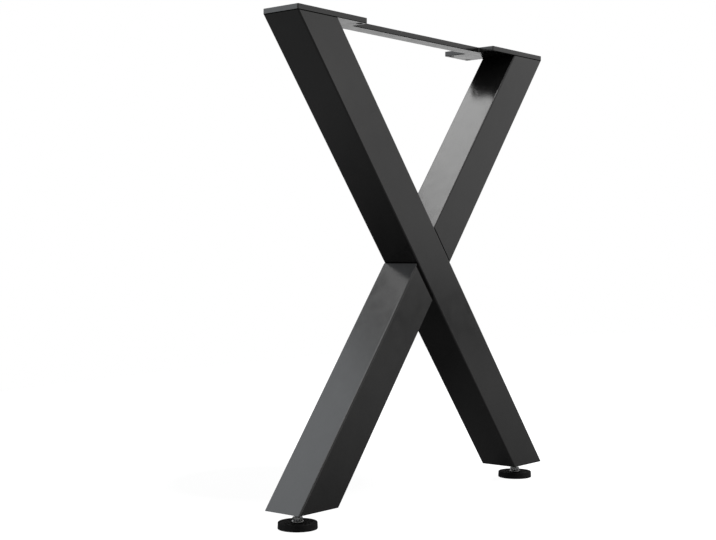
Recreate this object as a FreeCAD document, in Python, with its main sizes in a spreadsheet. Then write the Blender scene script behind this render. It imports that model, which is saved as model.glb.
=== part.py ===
import FreeCAD, Part
import os
import Sketcher

# X shaped steel table leg, in millimetres. +Z is up, X runs along the width, and the smooth outer
# face looks towards -Y. The origin is on the floor, under the middle of the whole leg.
os.makedirs("parts", exist_ok=True)
document = FreeCAD.newDocument("crossed_table_leg")

# Driving sizes
SIZES = (
    ("leg_width", 610, "across the outer ends of both arms"),
    ("leg_height", 711.2, "floor to the top of the plate"),
    ("ground_gap", 25, "floor to the underside of the tubes"),
    ("tube_side", 65, "outer side of the square tube"),
    ("tube_wall", 2, "wall of the square tube"),
    ("tube_corner", 2.5, "outer radius of the tube's long edges"),
    ("tube_inner_corner", 1, "inner radius of the tube's long edges"),
    ("joint_gap", 0.35, "left between a short tube and the side of the long one"),
    ("plate_thickness", 8, "top plate"),
    ("plate_depth", 96, "outer face to the end of a tail"),
    ("plate_corner", 2, "corners of the plate's outline"),
    ("tail_width", 63.5, "part of a pad that reaches past its tube"),
    ("strip_front", 28, "outer face to the strip that joins the pads"),
    ("strip_width", 26, "strip that joins the pads"),
    ("pad_hole_inset", 8, "screw hole to the edges of its pad"),
    ("pad_hole_radius", 4, "screw hole for the table top"),
    ("beam_hole_inset", 23.5, "outer end to the first cross-beam hole"),
    ("beam_hole_spacing", 44, "between the upper cross-beam holes"),
    ("beam_hole_depth", 15, "tube top to the upper cross-beam holes"),
    ("beam_hole_drop", 41.3, "upper to lower cross-beam holes"),
    ("cap_thickness", 6, "cap in an upper tube mouth"),
    ("foot_cap_thickness", 5, "cap in a lower tube mouth"),
    ("cap_clearance", 0.2, "cap to the inside of its tube"),
    ("cap_screw_spacing", 36, "between the two plate screws of a pad"),
    ("tongue_side_gap", 1.75, "tongue to the corner bend inside its tube"),
    ("tongue_thickness", 5, "flat bar through the crossing"),
    ("tongue_depth", 60, "length that a tongue is welded into its tube"),
    ("tongue_clearance", 0.4, "tongue to its slot"),
    ("tongue_setback", 5, "tongue end to the long tube's centre line"),
    ("crossing_reach", 16.8, "crossing centre to a screw along each tube direction"),
    ("thread_radius", 4, "all screws and studs"),
    ("thread_clearance", 0.1, "between a thread and its nut, radial"),
    ("clearance_radius", 4.5, "plain holes that a thread passes"),
    ("screw_length", 16, "all screws"),
    ("screw_end", 0.8, "chamfer at the end of a screw or stud"),
    ("nut_flats", 13, "weld nuts across flats"),
    ("nut_height", 6.5, "weld nuts and bushes"),
    ("bush_radius", 6, "threaded bush behind a cross-beam hole"),
    ("bush_chamfer", 0.8, "both ends of a bush"),
    ("button_radius", 7, "head of a crossing screw"),
    ("button_height", 4.4, "head of a crossing screw"),
    ("button_rim", 1.2, "straight edge of the button head"),
    ("socket_flats", 5, "hexagon socket"),
    ("socket_depth", 2.6, "hexagon socket"),
    ("sink_radius", 8.25, "countersink in the plate"),
    ("sink_clearance", 0.1, "countersunk head inside its countersink"),
    ("foot_inset", 32.8, "outer end to the axis of a foot"),
    ("foot_radius", 27.8, "foot disc at the floor"),
    ("foot_top_radius", 27.4, "foot disc at its top edge"),
    ("foot_height", 9.5, "foot disc"),
    ("foot_edge", 1, "radius at the disc's floor edge"),
    ("foot_chamfer", 0.8, "chamfer at the disc's top edge"),
    ("pin_radius", 4.7, "swivel pin in the disc"),
    ("pin_depth", 4.5, "swivel pin in the disc"),
    ("pin_clearance", 0.3, "swivel pin and flange to the disc"),
    ("flange_radius", 8.25, "round flange under the collar"),
    ("flange_height", 2, "round flange under the collar"),
    ("flange_edge", 0.8, "straight edge of the flange"),
    ("collar_flats", 13, "hexagon collar of a foot stud"),
    ("collar_height", 4.7, "hexagon collar of a foot stud"),
    ("stud_length", 28.5, "thread of a foot stud above its collar"),
)
sizes = document.addObject("Spreadsheet::Sheet", "Sizes")
for row, (alias, number, note) in enumerate(SIZES, start=1):
    sizes.set(f"A{row}", alias)
    sizes.set(f"B{row}", str(number))
    sizes.setAlias(f"B{row}", alias)
    sizes.set(f"C{row}", note)
document.recompute()

# Sizes that follow from the driving ones. A tube is cut level at its ends, so its cut is wider than
# its side, and the cut width and the lean depend on each other through one quadratic equation.
SQUARE = "Sizes.tube_side ^ 2"
LAYOUT = (
    ("tube_height", "Sizes.leg_height - Sizes.ground_gap - Sizes.plate_thickness"),
    ("cut_width", f"({SQUARE} * (sqrt(Sizes.leg_width ^ 2 + (Layout.tube_height ^ 2 / ({SQUARE}) - 1)"
                  f" * (Layout.tube_height ^ 2 + Sizes.leg_width ^ 2)) - Sizes.leg_width))"
                  f" / (Layout.tube_height ^ 2 - {SQUARE})"),
    ("lean", "atan((Sizes.leg_width - Layout.cut_width) / Layout.tube_height)"),
    ("slope", "(Sizes.leg_width - Layout.cut_width) / Layout.tube_height"),
    ("half_width", "Sizes.leg_width / 2"),
    ("half_side", "Sizes.tube_side / 2"),
    ("half_inner", "Sizes.tube_side / 2 - Sizes.tube_wall"),
    ("tongue_half", "Layout.half_inner - Sizes.tube_inner_corner - Sizes.tongue_side_gap"),
    ("wall_cut", "Sizes.tube_wall / cos(Layout.lean)"),
    ("axis_reach", "Layout.tube_height / 2 / cos(Layout.lean) + Sizes.tube_side"),
    ("tube_plane", "(Sizes.tube_side - Sizes.plate_depth) / 2"),
    ("tube_top", "Sizes.leg_height - Sizes.plate_thickness"),
    ("crossing_level", "Sizes.ground_gap + Layout.tube_height / 2"),
    ("pad_width", "Layout.cut_width + Sizes.tail_width"),
    ("flange_base", "Sizes.foot_height + Sizes.pin_clearance"),
    ("collar_base", "Layout.flange_base + Sizes.flange_height"),
    ("stud_base", "Layout.collar_base + Sizes.collar_height"),
    ("stud_top", "Layout.stud_base + Sizes.stud_length"),
    ("nut_bore", "Sizes.thread_radius + Sizes.thread_clearance"),
)
layout = document.addObject("App::VarSet", "Layout")
for name, expression in LAYOUT:
    layout.addProperty("App::PropertyFloat", name, "Layout", name.replace("_", " "))
    layout.setExpression(name, expression)
    document.recompute()

subparts = []


def value(expression):
    """Work an expression out now, so that a sketch starts where it will end."""
    result = layout.evalExpression(expression)
    return float(getattr(result, "Value", result))


def new_body(label, across="0", depth="0", height="0", turn="0"):
    """Start a body at a place in the leg, turned about the leg's depth direction."""
    body = document.addObject("PartDesign::Body", label)
    body.Label = label
    upright = FreeCAD.Rotation(FreeCAD.Vector(0, 1, 0), value(turn))
    body.Placement = FreeCAD.Placement(FreeCAD.Vector(), upright)
    body.setExpression("Placement.Base.x", across)
    body.setExpression("Placement.Base.y", depth)
    body.setExpression("Placement.Base.z", height)
    body.setExpression("Placement.Rotation.Angle", f"({turn}) * 1 deg")
    return body


def new_sketch(body, name, plane="XZ_Plane", across="0", along="0", lift="0", turn="0"):
    """Lay a sketch on one of the body's own planes, moved and turned within that plane."""
    sketch = body.newObject("Sketcher::SketchObject", name)
    for feature in body.Origin.OriginFeatures:
        if feature.Role == plane:
            sketch.AttachmentSupport = [(feature, "")]
    sketch.MapMode = "FlatFace"
    in_plane = FreeCAD.Rotation(FreeCAD.Vector(0, 0, 1), value(turn))
    sketch.AttachmentOffset = FreeCAD.Placement(FreeCAD.Vector(), in_plane)
    sketch.setExpression("AttachmentOffset.Base.x", across)
    sketch.setExpression("AttachmentOffset.Base.y", along)
    sketch.setExpression("AttachmentOffset.Base.z", lift)
    sketch.setExpression("AttachmentOffset.Rotation.Angle", f"({turn}) * 1 deg")
    return sketch


def pin(sketch, geometry, point, across, along):
    """Tie one point of a sketch to the sketch's origin by two signed distances."""
    for kind, expression in (("DistanceX", across), ("DistanceY", along)):
        distance = Sketcher.Constraint(kind, -1, 1, geometry, point, value(expression))
        sketch.setExpression(f"Constraints[{sketch.addConstraint(distance)}]", expression)


def draw_polygon(sketch, corners):
    """Draw a closed outline of straight lines through the given corners."""
    points = [FreeCAD.Vector(value(across), value(along), 0) for across, along in corners]
    first = sketch.GeometryCount
    for index, point in enumerate(points):
        following = (index + 1) % len(points)
        sketch.addGeometry(Part.LineSegment(point, points[following]), False)
    for index, (across, along) in enumerate(corners):
        following = (index + 1) % len(points)
        sketch.addConstraint(Sketcher.Constraint("Coincident", first + index, 2, first + following, 1))
        pin(sketch, first + index, 1, across, along)


def draw_circle(sketch, across, along, radius):
    """Draw a circle at a place that follows the sizes."""
    centre = FreeCAD.Vector(value(across), value(along), 0)
    circle = Part.Circle(centre, FreeCAD.Vector(0, 0, 1), value(radius))
    number = sketch.addGeometry(circle, False)
    pin(sketch, number, 3, across, along)
    distance = sketch.addConstraint(Sketcher.Constraint("Radius", number, value(radius)))
    sketch.setExpression(f"Constraints[{distance}]", radius)


def draw_rounded(sketch, half_across, half_along, radius):
    """Draw a rectangle round the sketch's origin with rounded corners."""
    turns = ((1, -1, 270), (1, 1, 0), (-1, 1, 90), (-1, -1, 180))
    for side, end, start in turns:
        corner = sketch.GeometryCount
        centre_across = f"{side} * ({half_across} - {radius})"
        centre_along = f"{end} * ({half_along} - {radius})"
        centre = FreeCAD.Vector(value(centre_across), value(centre_along), 0)
        full = Part.Circle(centre, FreeCAD.Vector(0, 0, 1), value(radius))
        from_angle = FreeCAD.Units.Quantity(f"{start} deg").getValueAs("rad").Value
        to_angle = FreeCAD.Units.Quantity(f"{start + 90} deg").getValueAs("rad").Value
        sketch.addGeometry(Part.ArcOfCircle(full, from_angle, to_angle), False)
        level = (centre_across, f"{end} * ({half_along})")
        upright = (f"{side} * ({half_across})", centre_along)
        begins, ends = (level, upright) if side * end < 0 else (upright, level)
        pin(sketch, corner, 1, *begins)
        pin(sketch, corner, 2, *ends)
        bend = sketch.addConstraint(Sketcher.Constraint("Radius", corner, value(radius)))
        sketch.setExpression(f"Constraints[{bend}]", radius)
    last = sketch.GeometryCount
    for step in range(4):
        this = last - 4 + step
        following = last - 4 + (step + 1) % 4
        begin = sketch.getPoint(this, 2)
        end = sketch.getPoint(following, 1)
        side = sketch.addGeometry(Part.LineSegment(begin, end), False)
        sketch.addConstraint(Sketcher.Constraint("Coincident", this, 2, side, 1))
        sketch.addConstraint(Sketcher.Constraint("Coincident", side, 2, following, 1))


def draw_hexagon(sketch, flats):
    """Draw a hexagon round the sketch's origin, given its width across flats."""
    corners = []
    for corner in range(6):
        angle = 60 * corner
        corners.append((f"{flats} / sqrt(3) * cos({angle} deg)", f"{flats} / sqrt(3) * sin({angle} deg)"))
    draw_polygon(sketch, corners)


def add_pad(body, sketch, length, both_ways=False):
    """Raise a sketch along its normal, or equally to both sides of its plane."""
    pad = body.newObject("PartDesign::Pad", f"{sketch.Name}_pad")
    pad.Profile = sketch
    pad.SideType = "Symmetric" if both_ways else "One side"
    pad.setExpression("Length", length)
    return pad


def add_pocket(body, sketch, length=None, both_ways=False):
    """Cut a sketch away against its normal, right through where no length is given."""
    pocket = body.newObject("PartDesign::Pocket", f"{sketch.Name}_pocket")
    pocket.Profile = sketch
    pocket.SideType = "Symmetric" if both_ways else "One side"
    if length:
        pocket.setExpression("Length", length)
    else:
        pocket.Type = "ThroughAll"
    return pocket


def add_revolution(body, sketch):
    """Turn a half profile about the sketch's upright axis."""
    turned = body.newObject("PartDesign::Revolution", f"{sketch.Name}_turned")
    turned.Profile = sketch
    turned.ReferenceAxis = (sketch, ["V_Axis"])
    turned.Angle = 360
    return turned


def edges_of(feature, belongs):
    """Name the edges of a finished feature that a test picks."""
    document.recompute()
    return [f"Edge{n}" for n, edge in enumerate(feature.Shape.Edges, start=1) if belongs(edge)]


def is_upright(edge):
    """Tell whether an edge is a straight one along the body's height."""
    if edge.Curve.TypeId != "Part::GeomLine":
        return False
    return abs(edge.Curve.Direction.z) > 0.999


def add_fillet(body, feature, belongs, radius, name):
    """Round the picked edges of a feature."""
    fillet = body.newObject("PartDesign::Fillet", name)
    fillet.Base = (feature, edges_of(feature, belongs))
    fillet.setExpression("Radius", radius)
    return fillet


def add_chamfer(body, feature, belongs, size, name):
    """Chamfer the picked edges of a feature."""
    chamfer = body.newObject("PartDesign::Chamfer", name)
    chamfer.Base = (feature, edges_of(feature, belongs))
    chamfer.setExpression("Size", size)
    return chamfer


def ring_at(height):
    """Make a test for the round edges that lie at one height of a turned body."""
    def belongs(edge):
        if edge.Curve.TypeId != "Part::GeomCircle":
            return False
        return abs(edge.Curve.Center.z - value(height)) < 0.001
    return belongs


def copies_of(label, template, places, lying):
    """Set several copies of one small piece at their places, as one sub-part."""
    links = []
    for number, (across, depth, height) in enumerate(places, start=1):
        link = document.addObject("App::Link", f"{label}_{number}")
        link.LinkedObject = template
        turn = FreeCAD.Rotation(FreeCAD.Vector(1, 0, 0), -90 if lying else 0)
        link.Placement = FreeCAD.Placement(FreeCAD.Vector(), turn)
        link.setExpression("Placement.Base.x", across)
        link.setExpression("Placement.Base.y", depth)
        link.setExpression("Placement.Base.z", height)
        links.append(link)
    group = document.addObject("Part::Compound", label)
    group.Label = label
    group.Links = links
    subparts.append(group)


def tube_section(body):
    """Draw the square tube's section with its outer and inner corners."""
    section = new_sketch(body, f"{body.Name}_section", "XY_Plane")
    draw_rounded(section, "Layout.half_side", "Layout.half_side", "Sizes.tube_corner")
    draw_rounded(section, "Layout.half_inner", "Layout.half_inner", "Sizes.tube_inner_corner")
    return section


def slope_cut(body, name, along, turn):
    """Cut a tube off along a slanted line: what lies beyond the line goes."""
    waste = new_sketch(body, name, along=along, turn=turn)
    reach = "2 * Sizes.tube_side"
    draw_polygon(waste, ((f"-({reach})", "0"), (reach, "0"), (reach, reach), (f"-({reach})", reach)))
    return add_pocket(body, waste, "2 * Sizes.tube_side", both_ways=True)


def beam_holes(body, side, turn):
    """Drill three cross-beam holes through the wall of a tube's inner face."""
    drill = new_sketch(body, f"{body.Name}_beam_holes", lift="-Layout.half_inner", turn=turn)
    for across, height in beam_places(side):
        draw_circle(drill, across, f"{height} - Layout.crossing_level", "Sizes.clearance_radius")
    return add_pocket(body, drill, "Sizes.tube_wall")


def beam_places(side):
    """Give the width and height places of one arm's cross-beam holes."""
    outer = f"{side} * (Layout.half_width - Sizes.beam_hole_inset)"
    inner = f"{side} * (Layout.half_width - Sizes.beam_hole_inset - Sizes.beam_hole_spacing)"
    upper = "(Layout.tube_top - Sizes.beam_hole_depth)"
    lower = "(Layout.tube_top - Sizes.beam_hole_depth - Sizes.beam_hole_drop)"
    return ((outer, upper), (inner, upper), (inner, lower))


# Long tube, from the top left to the bottom right
long_tube = new_body("long_tube", "0", "Layout.tube_plane", "Layout.crossing_level", "-Layout.lean")
subparts.append(long_tube)
add_pad(long_tube, tube_section(long_tube), "2 * Layout.axis_reach", both_ways=True)
END = "Layout.tube_height / 2 / cos(Layout.lean)"
slope_cut(long_tube, "long_tube_top", END, "-Layout.lean")
slope_cut(long_tube, "long_tube_bottom", f"-({END})", "180 - Layout.lean")
beam_holes(long_tube, -1, "-Layout.lean")

# Both tongues share one slot outline, which runs through both side walls of the long tube
SLOT_HALF = "(Layout.tongue_half + Sizes.tongue_clearance)"
SLOT_DEPTH = "(Sizes.tongue_thickness + Sizes.tongue_clearance)"
slots = new_sketch(long_tube, "tongue_slots", lift=f"{SLOT_DEPTH} - Layout.half_inner",
                   turn="-2 * Layout.lean")
draw_polygon(slots, ((f"-{SLOT_HALF}", "-Sizes.tube_side"), (SLOT_HALF, "-Sizes.tube_side"),
                     (SLOT_HALF, "Sizes.tube_side"), (f"-{SLOT_HALF}", "Sizes.tube_side")))
add_pocket(long_tube, slots, SLOT_DEPTH)

# The four crossing screws stand in a rhombus whose sides follow the two tube directions
drill = new_sketch(long_tube, "crossing_holes", lift="-Layout.half_inner")
for along_long in (1, -1):
    for along_short in (1, -1):
        draw_circle(drill, f"{along_short} * Sizes.crossing_reach * sin(2 * Layout.lean)",
                    f"Sizes.crossing_reach * ({along_long} + {along_short} * cos(2 * Layout.lean))",
                    "Sizes.clearance_radius")
add_pocket(long_tube, drill, "Sizes.tube_wall")

# Short tubes: the lower one is the upper one turned half round the crossing, without beam holes
BUTT = "(Layout.half_side + Sizes.joint_gap) / sin(2 * Layout.lean)"
for label, half_turn in (("upper_tube", 0), ("lower_tube", 180)):
    tube = new_body(label, "0", "Layout.tube_plane", "Layout.crossing_level",
                    f"Layout.lean + {half_turn}")
    subparts.append(tube)
    add_pad(tube, tube_section(tube), "Layout.axis_reach")
    slope_cut(tube, f"{label}_level_end", END, "Layout.lean")
    slope_cut(tube, f"{label}_butt_end", BUTT, "90 + 2 * Layout.lean")
    if half_turn == 0:
        beam_holes(tube, 1, "Layout.lean")

# Tongues: flat bars on the inside of the inner wall, welded in the short tubes
NEAR = "Sizes.tongue_setback / sin(2 * Layout.lean)"
SKEW = "Layout.tongue_half / tan(2 * Layout.lean)"
FAR = f"{BUTT} + Sizes.tongue_depth"
for label, half_turn in (("upper_tongue", 0), ("lower_tongue", 180)):
    tongue = new_body(label, "0", "Layout.tube_plane", "Layout.crossing_level",
                      f"Layout.lean + {half_turn}")
    subparts.append(tongue)
    outline = new_sketch(tongue, f"{label}_outline", lift="-Layout.half_inner")
    draw_polygon(outline, (("-Layout.tongue_half", f"{NEAR} + {SKEW}"),
                           ("Layout.tongue_half", f"{NEAR} - {SKEW}"),
                           ("Layout.tongue_half", FAR),
                           ("-Layout.tongue_half", FAR)))
    for along_long in (1, -1):
        draw_circle(outline, f"-{along_long} * Sizes.crossing_reach * sin(2 * Layout.lean)",
                    f"Sizes.crossing_reach * (1 + {along_long} * cos(2 * Layout.lean))",
                    "Sizes.clearance_radius")
    add_pad(tongue, outline, "Sizes.tongue_thickness")

# Top plate: two pads with tails behind the tubes, joined by a narrow strip
FRONT = "-Sizes.plate_depth / 2"
BACK = "Sizes.plate_depth / 2"
SHELF = f"{FRONT} + Sizes.tube_side"
STRIP_FRONT = f"{FRONT} + Sizes.strip_front"
STRIP_BACK = f"{FRONT} + Sizes.strip_front + Sizes.strip_width"
OUTER = "Layout.half_width"
TAIL = "(Layout.half_width - Layout.cut_width)"
INNER = "(Layout.half_width - Layout.pad_width)"
top_plate = new_body("top_plate", height="Layout.tube_top")
subparts.append(top_plate)
right_half = ((INNER, STRIP_FRONT), (INNER, FRONT), (OUTER, FRONT), (OUTER, SHELF), (TAIL, SHELF),
              (TAIL, BACK), (INNER, BACK), (INNER, STRIP_BACK))
left_half = tuple((f"-{across}", depth) for across, depth in reversed(right_half))
outline = new_sketch(top_plate, "plate_outline", "XY_Plane")
draw_polygon(outline, right_half + left_half)
plate = add_pad(top_plate, outline, "Sizes.plate_thickness")
add_fillet(top_plate, plate, is_upright, "Sizes.plate_corner", "plate_corners")
drill = new_sketch(top_plate, "pad_holes", "XY_Plane", lift="Sizes.plate_thickness")
for side in (-1, 1):
    near_end = f"{side} * ({INNER} + Sizes.pad_hole_inset)"
    far_end = f"{side} * ({TAIL} - Sizes.pad_hole_inset)"
    draw_circle(drill, near_end, f"{FRONT} + Sizes.pad_hole_inset", "Sizes.pad_hole_radius")
    draw_circle(drill, near_end, f"{BACK} - Sizes.pad_hole_inset", "Sizes.pad_hole_radius")
    draw_circle(drill, far_end, f"{BACK} - Sizes.pad_hole_inset", "Sizes.pad_hole_radius")
add_pocket(top_plate, drill)

# Plate screws go through countersunk holes into the caps below
SCREW_PLACES = []
for side in (-1, 1):
    for half in (-1, 1):
        across = f"{side} * (Layout.half_width - Layout.cut_width / 2)"
        SCREW_PLACES.append(f"{across} + {half} * Sizes.cap_screw_spacing / 2")
drill = new_sketch(top_plate, "plate_screw_holes", "XY_Plane", lift="Sizes.plate_thickness")
for across in SCREW_PLACES:
    draw_circle(drill, across, "Layout.tube_plane", "Sizes.clearance_radius")
add_pocket(top_plate, drill)
for number, across in enumerate(SCREW_PLACES, start=1):
    cone = new_sketch(top_plate, f"countersink_{number}", across=across, lift="-Layout.tube_plane")
    draw_polygon(cone, (("0", "Sizes.plate_thickness"), ("Sizes.sink_radius", "Sizes.plate_thickness"),
                        ("0", "Sizes.plate_thickness - Sizes.sink_radius")))
    groove = top_plate.newObject("PartDesign::Groove", f"countersink_{number}_cut")
    groove.Profile = cone
    groove.ReferenceAxis = (cone, ["V_Axis"])
    groove.Angle = 360


def cap(label, side, rises, thickness, base_across, base_height, holes, hole_radius):
    """Make a cap that fills a tube mouth: its sides lean with the tube."""
    body = new_body(label, base_across, "Layout.tube_plane", base_height)
    subparts.append(body)
    fitted = new_sketch(body, f"{label}_outline", "XY_Plane")
    clear_across = "(Layout.cut_width / 2 - Layout.wall_cut - Sizes.cap_clearance / cos(Layout.lean))"
    clear_along = "(Layout.half_inner - Sizes.cap_clearance)"
    draw_rounded(fitted, clear_across, clear_along, "(Sizes.tube_corner / cos(Layout.lean))")
    slab = add_pad(body, fitted, thickness)
    slab.UseCustomVector = True
    slab.AlongSketchNormal = True
    slab.Direction = FreeCAD.Vector(side * rises * value("Layout.slope"), 0, 1)
    slab.setExpression("Direction.x", f"{side * rises} * Layout.slope")
    bored = new_sketch(body, f"{label}_holes", "XY_Plane", lift=f"{thickness}")
    for across in holes:
        draw_circle(bored, across, "0", hole_radius)
    add_pocket(body, bored)


# Caps: the upper ones are tapped for the plate screws, the lower ones let the foot studs through
for name, side in (("left", -1), ("right", 1)):
    shift = f"{side} * Sizes.cap_thickness * Layout.slope"
    cap(f"{name}_top_cap", side, 1, "Sizes.cap_thickness",
        f"{side} * (Layout.half_width - Layout.cut_width / 2) - {shift}",
        "Layout.tube_top - Sizes.cap_thickness",
        (f"{shift} - Sizes.cap_screw_spacing / 2", f"{shift} + Sizes.cap_screw_spacing / 2"),
        "Layout.nut_bore")
    cap(f"{name}_bottom_cap", side, -1, "Sizes.foot_cap_thickness",
        f"{side} * (Layout.half_width - Layout.cut_width / 2)",
        "Sizes.ground_gap",
        (f"{side} * (Layout.cut_width / 2 - Sizes.foot_inset)",),
        "Sizes.clearance_radius")


def weld_nut(label, across="0", depth="0", height="0"):
    """Make a hexagon nut that stands on its own base plane."""
    nut = new_body(label, across, depth, height)
    outline = new_sketch(nut, f"{label}_outline", "XY_Plane")
    draw_hexagon(outline, "Sizes.nut_flats")
    draw_circle(outline, "0", "0", "Layout.nut_bore")
    add_pad(nut, outline, "Sizes.nut_height")
    return nut


# Crossing nuts, welded on the tongues
crossing_places = []
for along_long in (1, -1):
    for along_short in (1, -1):
        across = f"Sizes.crossing_reach * ({along_short} - {along_long}) * sin(Layout.lean)"
        height = f"Sizes.crossing_reach * ({along_short} + {along_long}) * cos(Layout.lean)"
        crossing_places.append((across, f"Layout.crossing_level + {height}"))
NUT_SEAT = "Layout.tube_plane + Layout.half_inner - Sizes.tongue_thickness - Sizes.nut_height"
nut_places = [(across, NUT_SEAT, height) for across, height in crossing_places]
copies_of("crossing_nuts", weld_nut("crossing_nut"), nut_places, lying=True)

# Crossing screws with button heads, in from the inner face
screw = new_body("crossing_screw")
shape = new_sketch(screw, "button_profile")
draw_polygon(shape, (("0", "-Sizes.screw_length"),
                     ("Sizes.thread_radius - Sizes.screw_end", "-Sizes.screw_length"),
                     ("Sizes.thread_radius", "Sizes.screw_end - Sizes.screw_length"),
                     ("Sizes.thread_radius", "0"), ("Sizes.button_radius", "0"),
                     ("Sizes.button_radius", "Sizes.button_height"), ("0", "Sizes.button_height")))
head = add_revolution(screw, shape)
dome = add_fillet(screw, head, ring_at("Sizes.button_height"),
                  "Sizes.button_height - Sizes.button_rim", "button_dome")
socket = new_sketch(screw, "button_socket", "XY_Plane", lift="Sizes.button_height")
draw_hexagon(socket, "Sizes.socket_flats")
add_pocket(screw, socket, "Sizes.socket_depth")
INNER_FACE = "Layout.tube_plane + Layout.half_side"
screw_places = [(across, INNER_FACE, height) for across, height in crossing_places]
copies_of("crossing_screws", screw, screw_places, lying=True)

# Plate screws with countersunk heads, flush with the plate
flush = new_body("plate_screw")
shape = new_sketch(flush, "countersunk_profile")
HEAD = "(Sizes.sink_radius - Sizes.sink_clearance)"
draw_polygon(shape, (("0", "-Sizes.screw_length"),
                     ("Sizes.thread_radius - Sizes.screw_end", "-Sizes.screw_length"),
                     ("Sizes.thread_radius", "Sizes.screw_end - Sizes.screw_length"),
                     ("Sizes.thread_radius", f"Sizes.thread_radius - {HEAD}"), (HEAD, "0"), ("0", "0")))
add_revolution(flush, shape)
socket = new_sketch(flush, "countersunk_socket", "XY_Plane")
draw_hexagon(socket, "Sizes.socket_flats")
add_pocket(flush, socket, "Sizes.socket_depth")
plate_places = [(across, "Layout.tube_plane", "Sizes.leg_height") for across in SCREW_PLACES]
copies_of("top_screws", flush, plate_places, lying=False)

# Threaded bushes behind the cross-beam holes
bush = new_body("beam_bush")
ring = new_sketch(bush, "bush_ring", "XY_Plane")
draw_circle(ring, "0", "0", "Sizes.bush_radius")
draw_circle(ring, "0", "0", "Layout.nut_bore")
sleeve = add_pad(bush, ring, "Sizes.nut_height")


def is_outer_rim(edge):
    """Tell whether an edge is one of the bush's two outer circles."""
    if edge.Curve.TypeId != "Part::GeomCircle":
        return False
    return abs(edge.Curve.Radius - value("Sizes.bush_radius")) < 0.001


add_chamfer(bush, sleeve, is_outer_rim, "Sizes.bush_chamfer", "bush_rims")
BUSH_SEAT = "Layout.tube_plane + Layout.half_inner - Sizes.nut_height"
bush_places = []
for side in (-1, 1):
    bush_places += [(across, BUSH_SEAT, height) for across, height in beam_places(side)]
copies_of("beam_nuts", bush, bush_places, lying=True)

# Feet: a weld nut over each bottom cap, a stud with a hexagon collar, and a plastic disc
SEAT = "Sizes.foot_height - Sizes.pin_depth - Sizes.pin_clearance"
SEAT_RADIUS = "Sizes.pin_radius + Sizes.pin_clearance"


def is_disc_rim(edge):
    """Tell whether an edge is a disc's outer circle at the top."""
    return ring_at("Sizes.foot_height")(edge) and edge.Curve.Radius > value(SEAT_RADIUS) + 1


for name, side in (("left", -1), ("right", 1)):
    axis = f"{side} * (Layout.half_width - Sizes.foot_inset)"
    nut_base = "Sizes.ground_gap + Sizes.foot_cap_thickness"
    subparts.append(weld_nut(f"{name}_foot_nut", axis, "Layout.tube_plane", nut_base))

    stud = new_body(f"{name}_foot_stud", axis, "Layout.tube_plane", "0")
    subparts.append(stud)
    shape = new_sketch(stud, f"{name}_stud_profile")
    PIN_BASE = "Sizes.foot_height - Sizes.pin_depth"
    draw_polygon(shape, (("0", PIN_BASE), ("Sizes.pin_radius", PIN_BASE),
                         ("Sizes.pin_radius", "Layout.flange_base"),
                         ("Sizes.flange_radius", "Layout.flange_base"),
                         ("Sizes.flange_radius", "Layout.flange_base + Sizes.flange_edge"),
                         ("Sizes.collar_flats / 2", "Layout.collar_base"),
                         ("Sizes.thread_radius", "Layout.collar_base"),
                         ("Sizes.thread_radius", "Layout.stud_top - Sizes.screw_end"),
                         ("Sizes.thread_radius - Sizes.screw_end", "Layout.stud_top"),
                         ("0", "Layout.stud_top")))
    add_revolution(stud, shape)
    collar = new_sketch(stud, f"{name}_collar", "XY_Plane", lift="Layout.collar_base")
    draw_hexagon(collar, "Sizes.collar_flats")
    add_pad(stud, collar, "Sizes.collar_height")

    disc = new_body(f"{name}_foot_base", axis, "Layout.tube_plane", "0")
    subparts.append(disc)
    shape = new_sketch(disc, f"{name}_disc_profile")
    draw_polygon(shape, (("0", "0"), ("Sizes.foot_radius", "0"),
                         ("Sizes.foot_top_radius", "Sizes.foot_height"),
                         (SEAT_RADIUS, "Sizes.foot_height"), (SEAT_RADIUS, SEAT), ("0", SEAT)))
    turned = add_revolution(disc, shape)
    rounded = add_fillet(disc, turned, ring_at("0"), "Sizes.foot_edge", f"{name}_floor_edge")
    add_chamfer(disc, rounded, is_disc_rim, "Sizes.foot_chamfer", f"{name}_top_edge")

# Nothing is written unless every object came out sound
document.recompute()
failed = [entry.Name for entry in document.Objects if {"Invalid", "Error"} & set(entry.State)]
if failed:
    raise RuntimeError("failed objects: " + ", ".join(failed))
for subpart in subparts:
    if subpart.Shape.isNull() or not subpart.Shape.isValid():
        raise RuntimeError("bad shape: " + subpart.Label)
for subpart in subparts:
    subpart.Shape.exportStep(f"parts/{subpart.Label}.step")
    print(subpart.Label, len(subpart.Shape.Solids), round(subpart.Shape.Volume, 1))
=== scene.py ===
import math

import bmesh
import bpy
from mathutils import Matrix, Vector


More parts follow.
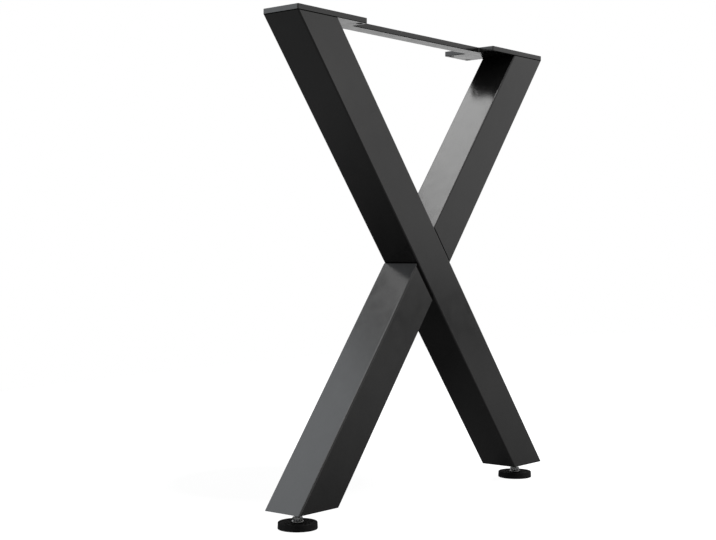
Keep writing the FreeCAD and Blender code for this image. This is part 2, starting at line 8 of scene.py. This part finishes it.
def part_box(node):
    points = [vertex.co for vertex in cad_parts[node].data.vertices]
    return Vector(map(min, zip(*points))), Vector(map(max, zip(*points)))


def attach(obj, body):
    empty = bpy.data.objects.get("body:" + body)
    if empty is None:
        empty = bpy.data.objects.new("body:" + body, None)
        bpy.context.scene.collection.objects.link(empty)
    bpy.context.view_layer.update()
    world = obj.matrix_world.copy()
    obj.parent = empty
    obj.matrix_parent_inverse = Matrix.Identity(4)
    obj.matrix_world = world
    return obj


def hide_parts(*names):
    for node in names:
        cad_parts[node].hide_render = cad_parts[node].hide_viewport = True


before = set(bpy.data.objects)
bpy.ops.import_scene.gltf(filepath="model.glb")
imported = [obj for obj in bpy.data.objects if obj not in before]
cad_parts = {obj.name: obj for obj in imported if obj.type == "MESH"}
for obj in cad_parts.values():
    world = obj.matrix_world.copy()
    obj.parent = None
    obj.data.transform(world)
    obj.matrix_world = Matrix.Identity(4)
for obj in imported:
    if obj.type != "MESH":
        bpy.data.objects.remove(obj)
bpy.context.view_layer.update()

# Square tubes
# Three lengths of 65 mm square steel tube with 2 mm walls. They are sawn level where they meet the
# plate and the feet, and at a slant where the two short ones butt on the long one. The sawn rims are
# filed, and all three are powder coated satin black. The seams carry painted shade, a dull near-black finish
# in place of the shadow in the joints.
MM = 0.001
RIM_ROUNDING = 0.7 * MM
SEAM_ROUNDING = 1.8 * MM
UP = Vector((0.0, 0.0, 1.0))
DOWN = -UP
TOWARDS_LONG_TUBE = Vector((0.7893, 0.0, 0.6140))
UP_LOWER_TUBE = Vector((0.6140, 0.0, 0.7893))
SHADED_SEAM_RUN = 5.0 * MM
FRONT_FACE_FROM = -47.0 * MM
SAME_LEVEL = 0.1 * MM
SAWN_EDGE_ANGLE = math.radians(35)


def steel_from(node):
    """Take a steel part's drawn shape as one closed skin, with each flat face in one piece."""
    skin = bmesh.new()
    skin.from_mesh(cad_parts[node].data)
    bmesh.ops.remove_doubles(skin, verts=skin.verts, dist=0.002 * MM)
    bmesh.ops.dissolve_limit(skin, angle_limit=math.radians(0.4), verts=skin.verts, edges=skin.edges)
    return skin


def file_rim(skin, facing, width, shaded_seam=False, outside_only=True):
    """Round the sharp edges of the end that faces a given way. A seam's rounded edges take the seam's
    painted shade.
    """
    filed = skin.faces.layers.float.get("filed") or skin.faces.layers.float.new("filed")
    furthest = max(corner.co.dot(facing) for corner in skin.verts) - SAME_LEVEL
    end_faces = {face for face in skin.faces
                 if face.normal.dot(facing) > 0.999 and face.verts[0].co.dot(facing) > furthest}
    middle = sum((face.calc_center_bounds() for face in end_faces), Vector()) / len(end_faces)
    sharp = []
    for edge in skin.edges:
        if end_faces.isdisjoint(edge.link_faces) or edge.calc_face_angle() < SAWN_EDGE_ANGLE:
            continue
        side = min(edge.link_faces, key=lambda face: abs(face.normal.dot(facing)))
        if not outside_only or (edge.verts[0].co - middle).dot(side.normal) > 0:
            sharp.append(edge)
    rounded = bmesh.ops.bevel(skin, geom=sharp, offset=width, offset_type="OFFSET", affect="EDGES",
                              segments=2, profile=0.5, material=-1)
    for face in rounded["faces"]:
        face[filed] = 1.0
        face.material_index = int(shaded_seam)


def hang_on(skin, name, material, body, slot, *nodes):
    """Make a piece of the leg from its skin, with its finish, and tie it to the body that carries it."""
    bmesh.ops.recalc_face_normals(skin, faces=skin.faces)
    mesh = bpy.data.meshes.new(name)
    skin.to_mesh(mesh)
    skin.free()
    mesh.shade_smooth()
    mesh.set_sharp_from_angle(angle=math.radians(40))
    mesh.materials.append(material)
    piece = bpy.data.objects.new(name, mesh)
    bpy.context.scene.collection.objects.link(piece)
    even = piece.modifiers.new("even_shading", "WEIGHTED_NORMAL")
    even.keep_sharp = True
    even.weight = 100
    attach(piece, body)
    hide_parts(*nodes)
    return piece


def new_finish(name, metallic, roughness, level=0.5):
    """Start a finish and return it with its node tree, its shader and the piece's own coordinates."""
    finish = bpy.data.materials.new(name)
    finish.use_nodes = True
    tree = finish.node_tree
    shader = tree.nodes["Principled BSDF"]
    shader.inputs["Metallic"].default_value = metallic
    shader.inputs["Roughness"].default_value = roughness
    shader.inputs["Specular IOR Level"].default_value = level
    place = tree.nodes.new("ShaderNodeTexCoord").outputs["Object"]
    return finish, tree, shader, place


def patches(tree, place, size, detail=3.0):
    """Spread soft patches about so many metres across over a surface."""
    noise = tree.nodes.new("ShaderNodeTexNoise")
    noise.inputs["Scale"].default_value = 1.0 / size
    noise.inputs["Detail"].default_value = detail
    tree.links.new(place, noise.inputs["Vector"])
    return noise.outputs["Fac"]


def between(tree, amount, low, high, start=0.3, end=0.7):
    """Stretch a patch pattern between two values."""
    spread = tree.nodes.new("ShaderNodeMapRange")
    spread.inputs["From Min"].default_value = start
    spread.inputs["From Max"].default_value = end
    spread.inputs["To Min"].default_value = low
    spread.inputs["To Max"].default_value = high
    tree.links.new(amount, spread.inputs["Value"])
    return spread.outputs["Result"]


def blend_colours(tree, amount, first, second):
    """Mix two colours, or a colour over what is already there, by a pattern."""
    mix = tree.nodes.new("ShaderNodeMix")
    mix.data_type = "RGBA"
    tree.links.new(amount, mix.inputs["Factor"])
    for socket, colour in (("A", first), ("B", second)):
        target = [entry for entry in mix.inputs if entry.name == socket and entry.type == "RGBA"][0]
        if isinstance(colour, tuple):
            target.default_value = (*colour, 1.0)
        else:
            tree.links.new(colour, target)
    return [entry for entry in mix.outputs if entry.type == "RGBA"][0]


def combine(tree, operation, first, second):
    """Do sums with two patterns, or with a pattern and a number."""
    sums = tree.nodes.new("ShaderNodeMath")
    sums.operation = operation
    for slot, entry in enumerate((first, second)):
        if isinstance(entry, (int, float)):
            sums.inputs[slot].default_value = entry
        else:
            tree.links.new(entry, sums.inputs[slot])
    return sums.outputs["Value"]


def roughen(tree, shader, height, depth, strength):
    """Raise a pattern from the surface by a real depth in metres."""
    bump = tree.nodes.new("ShaderNodeBump")
    bump.inputs["Strength"].default_value = strength
    bump.inputs["Distance"].default_value = depth
    tree.links.new(height, bump.inputs["Height"])
    tree.links.new(bump.outputs["Normal"], shader.inputs["Normal"])


powder_coat, tree, shader, place = new_finish("satin_black_powder_coat", 0.0, 0.28, 0.36)
edge_mark = tree.nodes.new("ShaderNodeAttribute")
edge_mark.attribute_name = "filed"
# The filed edges are a lighter grey: partly the thinner coat there, partly a painted sheen along the edges.
thin_coat_and_sheen = combine(tree, "MULTIPLY", edge_mark.outputs["Fac"], patches(tree, place, 6 * MM))
mottle = between(tree, patches(tree, place, 45 * MM), 0.0, 1.0)
coat_colour = blend_colours(tree, mottle, (0.0052, 0.0051, 0.0050), (0.0080, 0.0078, 0.0076))
tree.links.new(blend_colours(tree, thin_coat_and_sheen, coat_colour, (0.030, 0.030, 0.031)),
               shader.inputs["Base Color"])
tree.links.new(between(tree, patches(tree, place, 18 * MM, 5.0), 0.17, 0.23), shader.inputs["Roughness"])
orange_peel = combine(tree, "ADD", patches(tree, place, 1.6 * MM, 2.0),
                      combine(tree, "MULTIPLY", patches(tree, place, 0.5 * MM, 1.0), 0.3))
roughen(tree, shader, orange_peel, 0.02 * MM, 0.35)

# Painted shade for the seams: a near-black, dull finish stands in for the shadow in the joints under the
# plate and between the tubes.
seam_painted_shade_finish, tree, shader, place = new_finish("seam_painted_shade", 0.0, 0.85, 0.02)
seam_shade_pattern = between(tree, patches(tree, place, 2 * MM, 4.0), 0.0, 1.0)
tree.links.new(blend_colours(tree, seam_shade_pattern, (0.0008, 0.0008, 0.0008), (0.0022, 0.0021, 0.0020)),
               shader.inputs["Base Color"])
tree.links.new(between(tree, patches(tree, place, 3 * MM), 0.75, 0.95), shader.inputs["Roughness"])
roughen(tree, shader, patches(tree, place, 0.6 * MM), 0.03 * MM, 0.6)

for name in ("long_tube", "upper_tube", "lower_tube"):
    tube = steel_from(name)
    if name != "upper_tube":
        file_rim(tube, DOWN, RIM_ROUNDING)
    if name != "lower_tube":
        # The top rims lie in the seam under the plate and take its painted shade.
        file_rim(tube, UP, RIM_ROUNDING, shaded_seam=True)
    if name == "lower_tube":
        # The butt rim lies in the seam on the long tube and takes its painted shade.
        file_rim(tube, TOWARDS_LONG_TUBE, SEAM_ROUNDING, shaded_seam=True)
        # The seam's slope, which carries the painted shade, runs further down the tube on the front face
        butt_end = max(corner.co.dot(TOWARDS_LONG_TUBE) for corner in tube.verts)
        seam_start = [corner for corner in tube.verts if corner.co.y < FRONT_FACE_FROM
                      and 0.5 < (butt_end - corner.co.dot(TOWARDS_LONG_TUBE)) / SEAM_ROUNDING < 1.5]
        bmesh.ops.translate(tube, verts=seam_start, vec=-UP_LOWER_TUBE * SHADED_SEAM_RUN)
    filed_tube = hang_on(tube, f"{name}_filed", powder_coat, "frame", "black_paint", name)
    filed_tube.data.materials.append(seam_painted_shade_finish)

# Top plate
# One laser-cut plate, 8 mm thick: two pads with tails behind the tubes, joined by a narrow strip. It is
# screwed on the caps in the tube mouths. Its edges are filed before it is powder coated, and its upper
# face, which lies under the table top, is matt.
PLATE_UNDER_EDGE = 0.8 * MM
PLATE_UPPER_EDGE = 0.6 * MM
MATT_FACE = 2

matt_coat, tree, shader, place = new_finish("matt_black_powder_coat", 0.0, 0.55, 0.12)
rubbed = between(tree, patches(tree, place, 30 * MM, 4.0), 0.0, 1.0)
tree.links.new(blend_colours(tree, rubbed, (0.0060, 0.0059, 0.0058), (0.0095, 0.0093, 0.0091)),
               shader.inputs["Base Color"])
tree.links.new(between(tree, patches(tree, place, 8 * MM, 5.0), 0.48, 0.62), shader.inputs["Roughness"])
roughen(tree, shader, patches(tree, place, 1.2 * MM), 0.02 * MM, 0.35)

plate = steel_from("top_plate")
# The lower edges lie in the seam on the tubes and take its painted shade.
file_rim(plate, DOWN, PLATE_UNDER_EDGE, shaded_seam=True, outside_only=False)
file_rim(plate, UP, PLATE_UPPER_EDGE, outside_only=False)
plate_top = max(corner.co.z for corner in plate.verts)
for face in plate.faces:
    if face.normal.z > 0.999 and face.verts[0].co.z > plate_top - SAME_LEVEL:
        face.material_index = MATT_FACE
top_plate = hang_on(plate, "top_plate_filed", powder_coat, "frame", "black_paint", "top_plate")
for finish in (seam_painted_shade_finish, matt_coat):
    top_plate.data.materials.append(finish)

# Plate screws
# Four M8 countersunk screws, black oxide steel, sunk flush in the plate with 5 mm hexagon sockets. They
# go down into the caps in the upper tube mouths.
SCREW_RADIUS = 4 * MM
SCREW_LENGTH = 16 * MM
SOCKET_FLATS = 5 * MM
SOCKET_DEPTH = 2.6 * MM
THREAD_PITCH = 1.25 * MM
THREAD_DEPTH = 0.65 * MM
THREAD_CHAMFER = 0.8 * MM
HEAD_RADIUS = 8.15 * MM
SCREW_SPACING = 36 * MM
ROUND_STEPS = 48
LAID_OVER = Matrix.Rotation(-math.pi / 2, 3, "X")


def set_ring(corners, radius, height, flats=None):
    """Move a ring of corners to a radius and height, kept inside a hexagon where flats are given."""
    for corner in corners:
        angle = math.atan2(corner.co.y, corner.co.x)
        reach = radius
        if flats:
            from_flat = math.radians(math.degrees(angle) % 60 - 30)
            reach = min(radius, flats / 2 / math.cos(from_flat))
        corner.co = Vector((reach * math.cos(angle), reach * math.sin(angle), height))


def turned(rings):
    """Grow a closed shape ring by ring, as on a lathe. A ring is its radius, height and any flats."""
    skin = bmesh.new()
    start = bmesh.ops.create_circle(skin, cap_ends=False, segments=ROUND_STEPS, radius=1.0)["verts"]
    set_ring(start, *rings[0])
    first_edges = {edge for corner in start for edge in corner.link_edges}
    edges = list(first_edges)
    for ring in rings[1:]:
        grown = bmesh.ops.extrude_edge_only(skin, edges=edges)["geom"]
        set_ring([item for item in grown if isinstance(item, bmesh.types.BMVert)], *ring)
        edges = [item for item in grown if isinstance(item, bmesh.types.BMEdge) and item.is_boundary]
    bmesh.ops.edgeloop_fill(skin, edges=edges)
    bmesh.ops.edgeloop_fill(skin, edges=list(first_edges))
    return skin


def run_thread(skin, bottom, top):
    """Run a screw thread between two heights: one tooth spun round and up, then trimmed level."""
    steps_round = 24
    turns = math.ceil((top - bottom) / THREAD_PITCH) + 2
    start = bottom - THREAD_PITCH
    root = SCREW_RADIUS - THREAD_DEPTH
    tooth = ((root, 0.0), (SCREW_RADIUS, 0.42), (SCREW_RADIUS, 0.58), (root, 1.0))
    thread = bmesh.new()
    corners = [thread.verts.new((reach, 0.0, start + rise * THREAD_PITCH)) for reach, rise in tooth]
    outline = [thread.edges.new(pair) for pair in zip(corners, corners[1:])]
    bmesh.ops.spin(thread, geom=corners + outline, cent=(0, 0, 0), axis=(0, 0, 1),
                   dvec=(0, 0, THREAD_PITCH / steps_round), angle=math.tau * turns,
                   steps=steps_round * turns, use_merge=False, use_duplicate=False)
    bmesh.ops.remove_doubles(thread, verts=thread.verts, dist=0.005 * MM)
    for height, side in ((bottom, -1), (top, 1)):
        bmesh.ops.bisect_plane(thread, geom=thread.verts[:] + thread.edges[:] + thread.faces[:],
                               plane_co=(0, 0, height), plane_no=(0, 0, side), clear_outer=True)
    for corner in thread.verts:
        reach = math.hypot(corner.co.x, corner.co.y)
        from_end = min(abs(top - corner.co.z), abs(corner.co.z - bottom))
        allowed = SCREW_RADIUS - THREAD_CHAMFER + from_end
        if reach > allowed:
            corner.co.x *= allowed / reach
            corner.co.y *= allowed / reach
    bmesh.ops.holes_fill(thread, edges=[edge for edge in thread.edges if edge.is_boundary], sides=0)
    bmesh.ops.recalc_face_normals(thread, faces=thread.faces)
    spare = bpy.data.meshes.new("thread")
    thread.to_mesh(spare)
    thread.free()
    skin.from_mesh(spare)
    bpy.data.meshes.remove(spare)


def repeat_at(template, centres, lying):
    """Set copies of one small shape at their centres, upright or lying along the leg's depth."""
    mesh = bpy.data.meshes.new("template")
    bmesh.ops.recalc_face_normals(template, faces=template.faces)
    template.to_mesh(mesh)
    template.free()
    every = bmesh.new()
    for centre in centres:
        already = len(every.verts)
        every.from_mesh(mesh)
        every.verts.ensure_lookup_table()
        fresh = every.verts[already:]
        if lying:
            bmesh.ops.rotate(every, verts=fresh, cent=(0, 0, 0), matrix=LAID_OVER)
        bmesh.ops.translate(every, verts=fresh, vec=centre)
    bpy.data.meshes.remove(mesh)
    return every


black_oxide, tree, shader, place = new_finish("black_oxide_screws", 0.85, 0.38)
oil_film = between(tree, patches(tree, place, 1.8 * MM), 0.0, 1.0)
tree.links.new(blend_colours(tree, oil_film, (0.022, 0.022, 0.024), (0.045, 0.043, 0.041)),
               shader.inputs["Base Color"])
tree.links.new(between(tree, patches(tree, place, 0.9 * MM, 4.0), 0.30, 0.46), shader.inputs["Roughness"])
roughen(tree, shader, patches(tree, place, 0.35 * MM), 0.01 * MM, 0.5)

socket_corner = SOCKET_FLATS / math.sqrt(3)
tube_plane = sum(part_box("long_tube")[end].y for end in (0, 1)) / 2
leg_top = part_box("top_plate")[1].z
outer_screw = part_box("top_screws")[1].x - HEAD_RADIUS
plate_screw_places = []
for across in (outer_screw - SCREW_SPACING, outer_screw):
    plate_screw_places.append((-across, tube_plane, leg_top))
    plate_screw_places.append((across, tube_plane, leg_top))
plate_screw = turned((
    (1.0 * MM, -SOCKET_DEPTH - 0.5 * MM),
    (SOCKET_FLATS, -SOCKET_DEPTH, SOCKET_FLATS),
    (SOCKET_FLATS, -0.3 * MM, SOCKET_FLATS),
    (socket_corner + 0.15 * MM, 0.0),
    (HEAD_RADIUS - 0.2 * MM, 0.0),
    (HEAD_RADIUS, -0.15 * MM),
    (HEAD_RADIUS - 0.1 * MM, -0.4 * MM),
    (SCREW_RADIUS, SCREW_RADIUS - HEAD_RADIUS),
    (SCREW_RADIUS, -6.5 * MM),
    (SCREW_RADIUS - THREAD_DEPTH, -7.2 * MM),
))
run_thread(plate_screw, -SCREW_LENGTH, -6.8 * MM)
hang_on(repeat_at(plate_screw, plate_screw_places, lying=False), "plate_screws_threaded", black_oxide,
        "frame", "black_screw", "top_screws")

# Crossing screws
# Four M8 button-head screws, black oxide steel, driven in from the leg's inner face through the long
# tube and both tongues. They stand in a rhombus whose sides follow the two tube directions.
BUTTON_RADIUS = 7 * MM
BUTTON_HEIGHT = 4.4 * MM
BUTTON_RIM = 1.2 * MM
DOME_RISE = BUTTON_HEIGHT - BUTTON_RIM
crossing_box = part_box("crossing_screws")
crossing_level = (crossing_box[0].z + crossing_box[1].z) / 2
inner_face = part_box("long_tube")[1].y
half_tall = (crossing_box[1].z - crossing_box[0].z) / 2 - BUTTON_RADIUS
half_broad = (crossing_box[1].x - crossing_box[0].x) / 2 - BUTTON_RADIUS
crossing_places = (
    (0.0, inner_face, crossing_level - half_tall),
    (0.0, inner_face, crossing_level + half_tall),
    (-half_broad, inner_face, crossing_level),
    (half_broad, inner_face, crossing_level),
)
dome = []
for step in range(7):
    angle = math.radians(90 * (1 - step / 6))
    dome.append((BUTTON_RADIUS - DOME_RISE + DOME_RISE * math.cos(angle),
                 BUTTON_RIM + DOME_RISE * math.sin(angle)))
button_screw = turned((
    (1.0 * MM, BUTTON_HEIGHT - SOCKET_DEPTH - 0.4 * MM),
    (SOCKET_FLATS, BUTTON_HEIGHT - SOCKET_DEPTH, SOCKET_FLATS),
    (SOCKET_FLATS, BUTTON_HEIGHT - 0.35 * MM, SOCKET_FLATS),
    (socket_corner + 0.2 * MM, BUTTON_HEIGHT),
    *dome,
    (BUTTON_RADIUS, 0.2 * MM),
    (BUTTON_RADIUS - 0.2 * MM, 0.0),
    (SCREW_RADIUS, 0.0),
    (SCREW_RADIUS, -1.0 * MM),
    (SCREW_RADIUS - THREAD_DEPTH, -1.7 * MM),
))
run_thread(button_screw, -SCREW_LENGTH, -1.3 * MM)
hang_on(repeat_at(button_screw, crossing_places, lying=True), "crossing_screws_threaded", black_oxide,
        "frame", "black_screw", "crossing_screws")

# Foot studs
# M8 studs of zinc-plated steel with a hexagon collar for the spanner and a round flange above the disc.
# They screw up through the bottom caps into nuts welded inside, and swivel in the discs on a pin.
SPANNER_FLATS = 13 * MM
FLANGE_RADIUS = 8.25 * MM
PIN_RADIUS = 4.7 * MM
FLANGE_BASE = 9.8 * MM
COLLAR_BASE = 11.8 * MM
COLLAR_TOP = 16.5 * MM
COLLAR_CHAMFER = 0.9 * MM

zinc, tree, shader, place = new_finish("zinc_plate", 1.0, 0.22)
passivation = between(tree, patches(tree, place, 3.5 * MM), 0.0, 1.0)
tree.links.new(blend_colours(tree, passivation, (0.20, 0.21, 0.22), (0.30, 0.295, 0.28)),
               shader.inputs["Base Color"])
tree.links.new(between(tree, patches(tree, place, 1.1 * MM, 4.0), 0.16, 0.28), shader.inputs["Roughness"])
roughen(tree, shader, patches(tree, place, 0.3 * MM), 0.008 * MM, 0.5)

for side in ("left", "right"):
    node = f"{side}_foot_stud"
    low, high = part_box(node)
    foot_axis = Vector(((low.x + high.x) / 2, (low.y + high.y) / 2, 0.0))
    corner_radius = SPANNER_FLATS / math.sqrt(3)
    chamfer = []
    for step in range(5):
        drop = COLLAR_CHAMFER * step / 4
        chamfer.append((SPANNER_FLATS / 2 - 0.15 * MM + drop * 1.25, COLLAR_TOP - drop, SPANNER_FLATS))
    stud = turned((
        (PIN_RADIUS - 0.5 * MM, low.z),
        (PIN_RADIUS, low.z + 0.5 * MM),
        (PIN_RADIUS, FLANGE_BASE),
        (FLANGE_RADIUS - 0.2 * MM, FLANGE_BASE),
        (FLANGE_RADIUS, FLANGE_BASE + 0.2 * MM),
        (FLANGE_RADIUS, FLANGE_BASE + 0.7 * MM),
        (FLANGE_RADIUS - 0.25 * MM, FLANGE_BASE + 1.0 * MM),
        (SPANNER_FLATS / 2 + 0.6 * MM, COLLAR_BASE - 0.25 * MM),
        (corner_radius, COLLAR_BASE + 0.15 * MM, SPANNER_FLATS),
        (corner_radius, COLLAR_TOP - 1.2 * MM, SPANNER_FLATS),
        *reversed(chamfer),
        (SCREW_RADIUS + 0.4 * MM, COLLAR_TOP),
        (SCREW_RADIUS - THREAD_DEPTH, COLLAR_TOP - 0.4 * MM),
    ))
    run_thread(stud, COLLAR_TOP - 1.0 * MM, high.z)
    bmesh.ops.translate(stud, verts=stud.verts, vec=foot_axis)
    hang_on(stud, f"{node}_threaded", zinc, f"{side}_stud", "zinc", node)

# Foot discs
# Discs of moulded black polypropylene, 56 mm across, with a socket for the swivel pin. The
# top is dished a little between the rim and the socket, and the wall tapers very little.
moulded, tree, shader, place = new_finish("moulded_black_plastic", 0.0, 0.8, 0.03)
flow_marks = between(tree, patches(tree, place, 9 * MM, 2.0), 0.0, 1.0)
tree.links.new(blend_colours(tree, flow_marks, (0.014, 0.014, 0.0143), (0.0205, 0.0202, 0.0198)),
               shader.inputs["Base Color"])
tree.links.new(between(tree, patches(tree, place, 2.5 * MM, 4.0), 0.72, 0.88), shader.inputs["Roughness"])
roughen(tree, shader, patches(tree, place, 0.45 * MM, 3.0), 0.03 * MM, 0.6)

for side in ("left", "right"):
    node = f"{side}_foot_base"
    low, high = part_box(node)
    foot_axis = Vector(((low.x + high.x) / 2, (low.y + high.y) / 2, 0.0))
    foot_radius = (high.x - low.x) / 2
    disc = turned((
        (4.0 * MM, 0.5 * MM),
        (19.0 * MM, 0.5 * MM),
        (19.5 * MM, 0.0),
        (foot_radius - 1.0 * MM, 0.0),
        (foot_radius - 0.5 * MM, 0.13 * MM),
        (foot_radius - 0.13 * MM, 0.5 * MM),
        (foot_radius, 1.0 * MM),
        (foot_radius - 0.35 * MM, high.z - 0.9 * MM),
        (foot_radius - 0.6 * MM, high.z - 0.4 * MM),
        (foot_radius - 1.0 * MM, high.z - 0.1 * MM),
        (foot_radius - 1.6 * MM, high.z),
        (foot_radius - 4.0 * MM, high.z),
        (foot_radius - 5.0 * MM, high.z - 0.25 * MM),
        (foot_radius - 7.0 * MM, high.z - 0.8 * MM),
        (10.2 * MM, high.z - 0.8 * MM),
        (9.4 * MM, high.z - 0.35 * MM),
        (8.9 * MM, high.z),
        (5.4 * MM, high.z),
        (5.0 * MM, high.z - 0.4 * MM),
        (5.0 * MM, 4.7 * MM),
    ))
    bmesh.ops.translate(disc, verts=disc.verts, vec=foot_axis)
    hang_on(disc, f"{node}_moulded", moulded, f"{side}_foot", "foot_plastic", node)

# Caps and tongues
# Thick caps sit in the tube mouths, tapped for the plate screws at the top and drilled for the studs
# below. Flat bars, the tongues, tie the short tubes through the long one. The caps in the lower mouths
# are coated with the tubes, and the rest is plain rolled steel.
rolled_steel, tree, shader, place = new_finish("rolled_steel", 1.0, 0.45)
mill_scale = between(tree, patches(tree, place, 12 * MM, 6.0), 0.0, 1.0)
tree.links.new(blend_colours(tree, mill_scale, (0.16, 0.17, 0.19), (0.34, 0.33, 0.31)),
               shader.inputs["Base Color"])
tree.links.new(between(tree, patches(tree, place, 3 * MM, 5.0), 0.36, 0.58), shader.inputs["Roughness"])
roughen(tree, shader, patches(tree, place, 0.8 * MM, 4.0), 0.02 * MM, 0.6)


def finish_as_drawn(material, *nodes):
    """Give its finish to each part that keeps its drawn shape."""
    for node in nodes:
        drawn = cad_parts[node]
        for slot in range(len(drawn.material_slots)):
            drawn.material_slots[slot].material = material


finish_as_drawn(rolled_steel, "left_top_cap", "right_top_cap", "upper_tongue", "lower_tongue")
finish_as_drawn(powder_coat, "left_bottom_cap", "right_bottom_cap")

# Nuts and bushes
# Zinc-plated M8 nuts welded on the tongues and the bottom caps, and round threaded bushes pressed in
# behind the cross-beam holes.
finish_as_drawn(zinc, "crossing_nuts", "beam_nuts", "left_foot_nut", "right_foot_nut")

# Floor
# A plain pale studio floor, a wide round sheet laid further out in front of the leg. Close behind the
# leg the sheet carries a painted shadow, a darker grey which only the paint's reflections show.
FLOOR_RADIUS = 8.0
FLOOR_CENTRE = Vector((2.2, -6.0, 0.0))
SHADOW_PATCH_CENTRE = (-0.03, 0.27, 0.0)
SHADOW_PATCH_CORE = 0.15
SHADOW_PATCH_REACH = 0.50
SHADOW_PATCH_GREY = 0.03
SHEET_GREY = 0.21
SEEN_GLOW = 0.94
MIRRORED_GLOW = 0.04
sheet = bmesh.new()
bmesh.ops.create_circle(sheet, cap_ends=True, segments=96, radius=FLOOR_RADIUS)
bmesh.ops.translate(sheet, verts=sheet.verts, vec=FLOOR_CENTRE)
floor_mesh = bpy.data.meshes.new("studio_floor")
sheet.to_mesh(floor_mesh)
sheet.free()
studio_floor = bpy.data.objects.new("studio_floor", floor_mesh)
bpy.context.scene.collection.objects.link(studio_floor)
pale = bpy.data.materials.new("pale_floor")
pale.use_nodes = True
tree = pale.node_tree
tree.nodes.clear()
matt = tree.nodes.new("ShaderNodeBsdfDiffuse")
from_shadow_patch = tree.nodes.new("ShaderNodeVectorMath")
from_shadow_patch.operation = "DISTANCE"
from_shadow_patch.inputs[1].default_value = SHADOW_PATCH_CENTRE
tree.links.new(tree.nodes.new("ShaderNodeTexCoord").outputs["Object"], from_shadow_patch.inputs[0])
floor_grey_with_shadow = between(tree, from_shadow_patch.outputs["Value"], SHADOW_PATCH_GREY, SHEET_GREY, SHADOW_PATCH_CORE, SHADOW_PATCH_REACH)
tree.links.new(floor_grey_with_shadow, matt.inputs["Color"])
glow = tree.nodes.new("ShaderNodeEmission")
path = tree.nodes.new("ShaderNodeLightPath")
seen = combine(tree, "MAXIMUM", path.outputs["Is Camera Ray"], path.outputs["Is Transmission Ray"])
mirrored = combine(tree, "MULTIPLY", path.outputs["Is Glossy Ray"], MIRRORED_GLOW)
tree.links.new(combine(tree, "ADD", combine(tree, "MULTIPLY", seen, SEEN_GLOW), mirrored),
               glow.inputs["Strength"])
both = tree.nodes.new("ShaderNodeAddShader")
tree.links.new(matt.outputs["BSDF"], both.inputs[0])
tree.links.new(glow.outputs["Emission"], both.inputs[1])
surface = tree.nodes.new("ShaderNodeOutputMaterial")
tree.links.new(both.outputs["Shader"], surface.inputs["Surface"])
floor_mesh.materials.append(pale)

# Studio light
# An even white room with six soft panels: three behind the leg and to its left, high up or as wide as
# a window, two in front on the right, and one in front that is turned down to the floor.
ROOM_LIGHT = 0.25
LEG_CENTRE = Vector((0.0, -0.016, 0.36))

world = bpy.data.worlds.new("white_room")
bpy.context.scene.world = world
world.use_nodes = True
tree = world.node_tree
room = tree.nodes["Background"]
path = tree.nodes.new("ShaderNodeLightPath")
seen = combine(tree, "MAXIMUM", path.outputs["Is Camera Ray"], path.outputs["Is Glossy Ray"])
seen = combine(tree, "MAXIMUM", seen, path.outputs["Is Transmission Ray"])
tree.links.new(between(tree, seen, ROOM_LIGHT, 1.0, 0.0, 1.0), room.inputs["Strength"])
room.inputs["Color"].default_value = (1.0, 1.0, 1.0, 1.0)


def softbox(name, azimuth, elevation, distance, width, height, radiance, colour, floorwards=False):
    """Stand an even soft panel round the leg. One that only lights the floor isn't mirrored in the paint."""
    flat = math.cos(math.radians(elevation))
    towards = Vector((flat * math.cos(math.radians(azimuth)), flat * math.sin(math.radians(azimuth)),
                      math.sin(math.radians(elevation))))
    lamp = bpy.data.lights.new(name, "AREA")
    lamp.shape = "RECTANGLE"
    lamp.size = width
    lamp.size_y = height
    lamp.energy = radiance * width * height * math.pi
    lamp.color = colour
    panel = bpy.data.objects.new(name, lamp)
    panel.location = LEG_CENTRE + towards * distance
    if not floorwards:
        panel.rotation_euler = towards.to_track_quat("Z", "Y").to_euler()
    panel.visible_camera = False
    panel.visible_glossy = not floorwards
    bpy.context.scene.collection.objects.link(panel)


softbox("high_softbox", 100, 66, 2.6, 1.3, 1.4, 5.3, (1.0, 1.0, 0.995))
softbox("window_panel", 128, 26, 3.0, 2.0, 2.1, 2.15, (0.90, 0.95, 1.0))
softbox("overhead_softbox", 165, 66, 2.6, 1.6, 1.6, 5.0, (1.0, 1.0, 1.0))
softbox("front_panel", -38, 24, 3.0, 2.4, 1.0, 0.2, (1.0, 0.985, 0.965))
softbox("low_panel", -62, 4, 2.4, 1.4, 1.0, 0.9, (1.0, 0.98, 0.95))
softbox("floor_softbox", -40, 34, 3.35, 3.0, 3.0, 6.0, (1.0, 1.0, 1.0), floorwards=True)

# Camera
# It stands low and to the left, as the photograph was taken, with its sensor level to a tenth of a
# degree.
camera_data = bpy.data.cameras.new("studio_camera")
camera_data.sensor_fit = "HORIZONTAL"
camera_data.sensor_width = 36.0
camera_data.lens = 65.43
camera_data.clip_end = 100.0
camera = bpy.data.objects.new("studio_camera", camera_data)
to_right = Vector((0.63949, -0.76880, -0.00143)).normalized()
forward = Vector((0.76874, 0.63946, -0.01096)).normalized()
upward = to_right.cross(forward).normalized()
turn = Matrix((to_right, upward, -forward)).transposed().to_4x4()
camera.matrix_world = Matrix.Translation(Vector((-1.58927, -1.21943, 0.37420))) @ turn
bpy.context.scene.collection.objects.link(camera)
bpy.context.scene.camera = camera
bpy.context.scene.view_settings.view_transform = "Standard"
